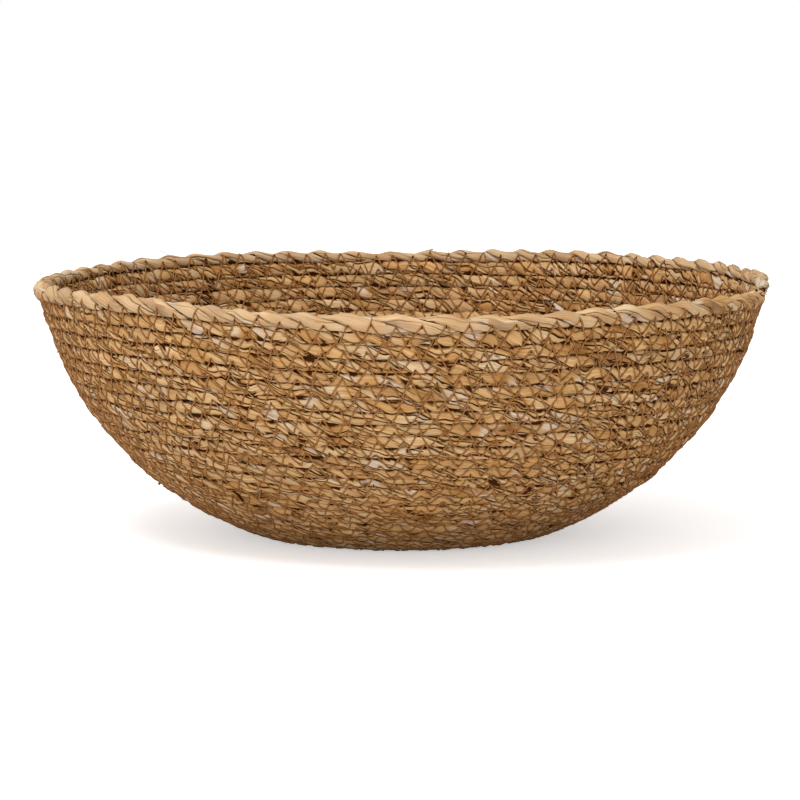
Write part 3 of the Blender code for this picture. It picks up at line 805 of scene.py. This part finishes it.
def makeFibreTree():
    tree, given, result = newTree(
        "strayFibres", "GeometryNodeTree",
        [
            ("Holder", "NodeSocketGeometry", None), ("Rope", "NodeSocketCollection", None), ("Density", "NodeSocketFloat", 500.0),
            ("Shortest", "NodeSocketFloat", 0.003), ("Longest", "NodeSocketFloat", 0.009), ("Broad", "NodeSocketFloat", 0.02),
            ("Thin", "NodeSocketFloat", 0.02), ("Lift", "NodeSocketFloat", 0.35), ("Seed", "NodeSocketInt", 1),
            ("Leaf", "NodeSocketMaterial", None),
        ],
        [("Fibres", "NodeSocketGeometry")],
    )
    rope = outOf(addNode(tree, "GeometryNodeCollectionInfo", given["Rope"]))
    rope = outOf(addNode(tree, "GeometryNodeRealizeInstances", rope))
    spots = addNode(tree, "GeometryNodeDistributePointsOnFaces", rope, None, given["Density"], given["Seed"])

    def dice(low, high, salt):
        mixed = sumOf(tree, "ADD", given["Seed"], salt)
        return outOf(addNode(tree, "FunctionNodeRandomValue", low, high, None, mixed, data_type="FLOAT"))

    # one fibre of length one along X, rising at its far end
    high = given["Lift"]
    bow = addNode(tree, "GeometryNodeCurveQuadraticBezier", 5, (0.0, 0.0, -0.03), None, None)
    feed(tree, bow.inputs["Middle"], vectorFrom(tree, 0.55, 0.10, sumOf(tree, "MULTIPLY", high, 0.22)))
    feed(tree, bow.inputs["End"], vectorFrom(tree, 1.0, -0.12, high))
    ring = outOf(addNode(tree, "GeometryNodeCurvePrimitiveCircle", 4, 1.0))
    ring = addNode(tree, "GeometryNodeTransform", ring)
    feed(tree, ring.inputs["Scale"], vectorFrom(tree, given["Thin"], given["Broad"], 1.0))
    fibre = outOf(addNode(tree, "GeometryNodeCurveToMesh", outOf(bow), outOf(ring), 1.0, True))

    # laid along the rows, either way, more or less aslant
    position = outOf(addNode(tree, "GeometryNodeInputPosition"))
    level = vectorOf(tree, "CROSS_PRODUCT", (0.0, 0.0, 1.0), position)
    facing = addNode(tree, "FunctionNodeAxesToRotation", spots.outputs["Normal"], level, primary_axis="Z", secondary_axis="X")
    way = productOf(tree, sumOf(tree, "GREATER_THAN", dice(0.0, 1.0, 1.0), 0.5), math.pi)
    slant = sumOf(tree, "ADD", way, dice(-0.7, 0.7, 2.0))
    spin = outOf(addNode(tree, "FunctionNodeEulerToRotation", vectorFrom(tree, dice(-0.6, 0.6, 3.0), 0.0, slant)))
    turned = outOf(addNode(tree, "FunctionNodeRotateRotation", outOf(facing), spin, rotation_space="LOCAL"))
    length = dice(0.0, 1.0, 4.0)
    length = spread(tree, productOf(tree, length, length), 0.0, 1.0, given["Shortest"], given["Longest"])
    sizes = vectorFrom(tree, length, length, sumOf(tree, "MULTIPLY", length, dice(0.2, 1.3, 5.0)))
    points = storeAttribute(tree, outOf(spots), "leafBleach", dice(0.0, 0.9, 6.0))
    points = storeAttribute(tree, points, "leafPlace", vectorFrom(tree, dice(0.0, 9.0, 7.0), dice(0.0, 5.0, 8.0), 0.4), "FLOAT_VECTOR")
    laid = addNode(tree, "GeometryNodeInstanceOnPoints", points)
    for label, value in (("Instance", fibre), ("Rotation", turned), ("Scale", sizes)):
        feed(tree, laid.inputs[label], value)
    laid = outOf(addNode(tree, "GeometryNodeRealizeInstances", outOf(laid)))
    return finishTree(tree, aboveTable(tree, laid), given["Leaf"], result["Fibres"])


fibreTree = makeFibreTree()
fibreZones = ("rim", "shoulder", "upperBelly", "lowerBelly", "lowerWall")
crossed = crossedCollection("fibreCrossed", [ropePieces[f"{label}Ply{ply}"] for label in fibreZones for ply in "AB"])
for name, sizes in fibreSize.items():
    holder = pathObject(f"stray{name.capitalize()}", np.zeros((2, 3)), {})
    grown(holder, fibreTree, {"Rope": crossed, "Leaf": leafMaterial, **sizes})
    putIn(holder, "leaf_rope")
    print(f"{name}: {2 * len(holder.data.polygons)} triangles")
bpy.data.collections.remove(crossed)

hairSize = {
    "thickness": 0.00011,
    "points": 7,
    "tuft": 34,              # at the loose end
    "tuftLengths": (0.003, 0.010),
    "strays": 26,            # all over the rim and the wall
    "strayLengths": (0.008, 0.022),
    "seed": 11,
}


def makeHairTree():
    tree, given, result = newTree(
        "looseHairs", "GeometryNodeTree",
        [
            ("Lines", "NodeSocketGeometry", None), ("Thickness", "NodeSocketFloat", 0.0001), ("Sides", "NodeSocketInt", 4),
            ("Leaf", "NodeSocketMaterial", None),
        ],
        [("Hairs", "NodeSocketGeometry")],
    )
    line = outOf(addNode(tree, "GeometryNodeMeshToCurve", given["Lines"]))
    ring = outOf(addNode(tree, "GeometryNodeCurvePrimitiveCircle", given["Sides"], given["Thickness"]))
    tube = outOf(addNode(tree, "GeometryNodeCurveToMesh", line, ring, readAttribute(tree, "taper"), True))
    tube = storeAttribute(tree, tube, "leafPlace", vectorFrom(tree, readAttribute(tree, "along"), 0.3, 0.5), "FLOAT_VECTOR")
    tube = storeAttribute(tree, tube, "leafBleach", readAttribute(tree, "bleach"))
    return finishTree(tree, aboveTable(tree, tube), given["Leaf"], result["Hairs"])


def hairLines():  # each starts in the rope and bows away from it
    dice = np.random.default_rng(hairSize["seed"])
    count = hairSize["tuft"] + hairSize["strays"]
    isTuft = np.arange(count) < hairSize["tuft"]
    row = np.where(isTuft, dice.uniform(0.0, 0.004, count), dice.uniform(0.0, 15.0, count) * dice.uniform(0.0, 1.0, count))
    middle, up, out = wanderingRope(row)
    middle -= np.where(isTuft, plySize["tailDrop"], 0.0)[:, None] * up
    turn = math.radians(basketShape["looseEndDeg"]) + math.tau * row
    tangent = np.stack([np.sin(turn), -np.cos(turn), np.zeros(count)], axis=1)
    angle = np.where(row < 1.0, dice.uniform(-0.6, 1.9, count), dice.uniform(-0.9, 0.9, count))
    side = np.cos(angle)[:, None] * out + np.sin(angle)[:, None] * up
    start = middle + side * np.where(isTuft, 0.0012, 0.0034)[:, None] * dice.uniform(0.4, 1.0, count)[:, None]
    low, high = (np.where(isTuft, hairSize["tuftLengths"][end], hairSize["strayLengths"][end]) for end in (0, 1))
    length = (low + (high - low) * dice.uniform(0.0, 1.0, count) ** 2)[:, None, None]
    way = np.where(isTuft, 1.0, dice.choice((-1.0, 1.0), count))[:, None] * tangent
    lean = dice.uniform(0.15, 0.75, count)[:, None]
    bend = dice.normal(0.0, 0.35, (count, 3)) - up * 0.25
    along = np.linspace(0.0, 1.0, hairSize["points"])[None, :, None]
    heading = (way * (1.0 - lean) + side * lean)[:, None, :]
    points = start[:, None, :] + length * (along * heading + along**2 * bend[:, None, :])
    taper = np.broadcast_to(1.0 - 0.7 * along[..., 0], points.shape[:2])
    bleach = np.broadcast_to(np.where(isTuft, 1.0, dice.uniform(0.0, 1.0, count))[:, None], points.shape[:2])
    values = {"taper": taper.ravel(), "bleach": bleach.ravel(), "along": (length[..., 0] * along[..., 0] + row[:, None]).ravel()}
    return pathObject("looseHairs", points.reshape(-1, 3), values, lineCount=count)


hairs = grown(hairLines(), makeHairTree(), {"Thickness": hairSize["thickness"], "Sides": 4, "Leaf": leafMaterial})
putIn(hairs, "leaf_rope")
print(f"hairs: {2 * len(hairs.data.polygons)} triangles")


# ---- floor, light and camera

studio = {
    "floorSize": 16.0,
    "floorColour": (0.93, 0.93, 0.93),
    "glow": 0.5,                  # only what the camera sees of the floor, so that it shows white
    "elevationDeg": 6.42,
    "distance": 2.0139,
    "aim": (-0.00097, 0.0, 0.07215),
    "lens": 165.2,
}


def seenRays(tree):  # 1 for what the camera sees, straight or in gloss and glass
    rays = addNode(tree, "ShaderNodeLightPath")
    clear = sumOf(tree, "MAXIMUM", rays.outputs["Is Glossy Ray"], rays.outputs["Is Transmission Ray"])
    return sumOf(tree, "MAXIMUM", rays.outputs["Is Camera Ray"], clear)


def makeFloor():
    bpy.ops.mesh.primitive_plane_add(size=studio["floorSize"], location=(0.0, 0.0, -0.0002))
    floor = bpy.context.object
    floor.name = "paleFloor"
    material, tree, shader = newMaterial("paleFloor")
    shader.inputs["Base Color"].default_value = (*studio["floorColour"], 1.0)
    shader.inputs["Roughness"].default_value = 0.9
    shader.inputs["Specular IOR Level"].default_value = 0.1
    shader.inputs["Emission Color"].default_value = (1.0, 1.0, 1.0, 1.0)
    feed(tree, shader.inputs["Emission Strength"], sumOf(tree, "MULTIPLY", seenRays(tree), studio["glow"]))
    floor.data.materials.append(material)


def makeWorld():
    world = bpy.data.worlds.new("studioSky")
    bpy.context.scene.world = world
    world.use_nodes = True
    tree = world.node_tree
    background = tree.nodes["Background"]
    background.inputs["Color"].default_value = (1.0, 1.0, 1.0, 1.0)
    feed(tree, background.inputs["Strength"], spread(tree, seenRays(tree), 0.0, 1.0, 0.74, 1.0))


def makeLamp(name, place, aim, size, watts):
    light = bpy.data.lights.new(name, "AREA")
    light.energy = watts
    light.size = size
    lamp = bpy.data.objects.new(name, light)
    lamp.location = place
    lamp.rotation_euler = (Vector(aim) - Vector(place)).to_track_quat("-Z", "Y").to_euler()
    bpy.context.scene.collection.objects.link(lamp)


def makeCamera():
    camera = bpy.data.objects.new("camera", bpy.data.cameras.new("camera"))
    camera.data.lens = studio["lens"]
    camera.data.sensor_width = 36.0
    camera.data.clip_end = 50.0
    lift = math.radians(studio["elevationDeg"])
    aim = Vector(studio["aim"])
    camera.location = aim + Vector((0.0, -math.cos(lift), math.sin(lift))) * studio["distance"]
    camera.rotation_euler = (aim - camera.location).to_track_quat("-Z", "Y").to_euler()
    bpy.context.scene.collection.objects.link(camera)
    bpy.context.scene.camera = camera


makeFloor()
makeWorld()
makeLamp("overhead", (-0.5, -0.8, 1.9), (0.0, 0.0, 0.05), 1.0, 27.0)
makeLamp("front", (-0.4, -2.2, 0.45), (0.0, 0.0, 0.04), 1.2, 14.0)
makeCamera()
bpy.context.scene.view_settings.view_transform = "Standard"
print("studio is set")
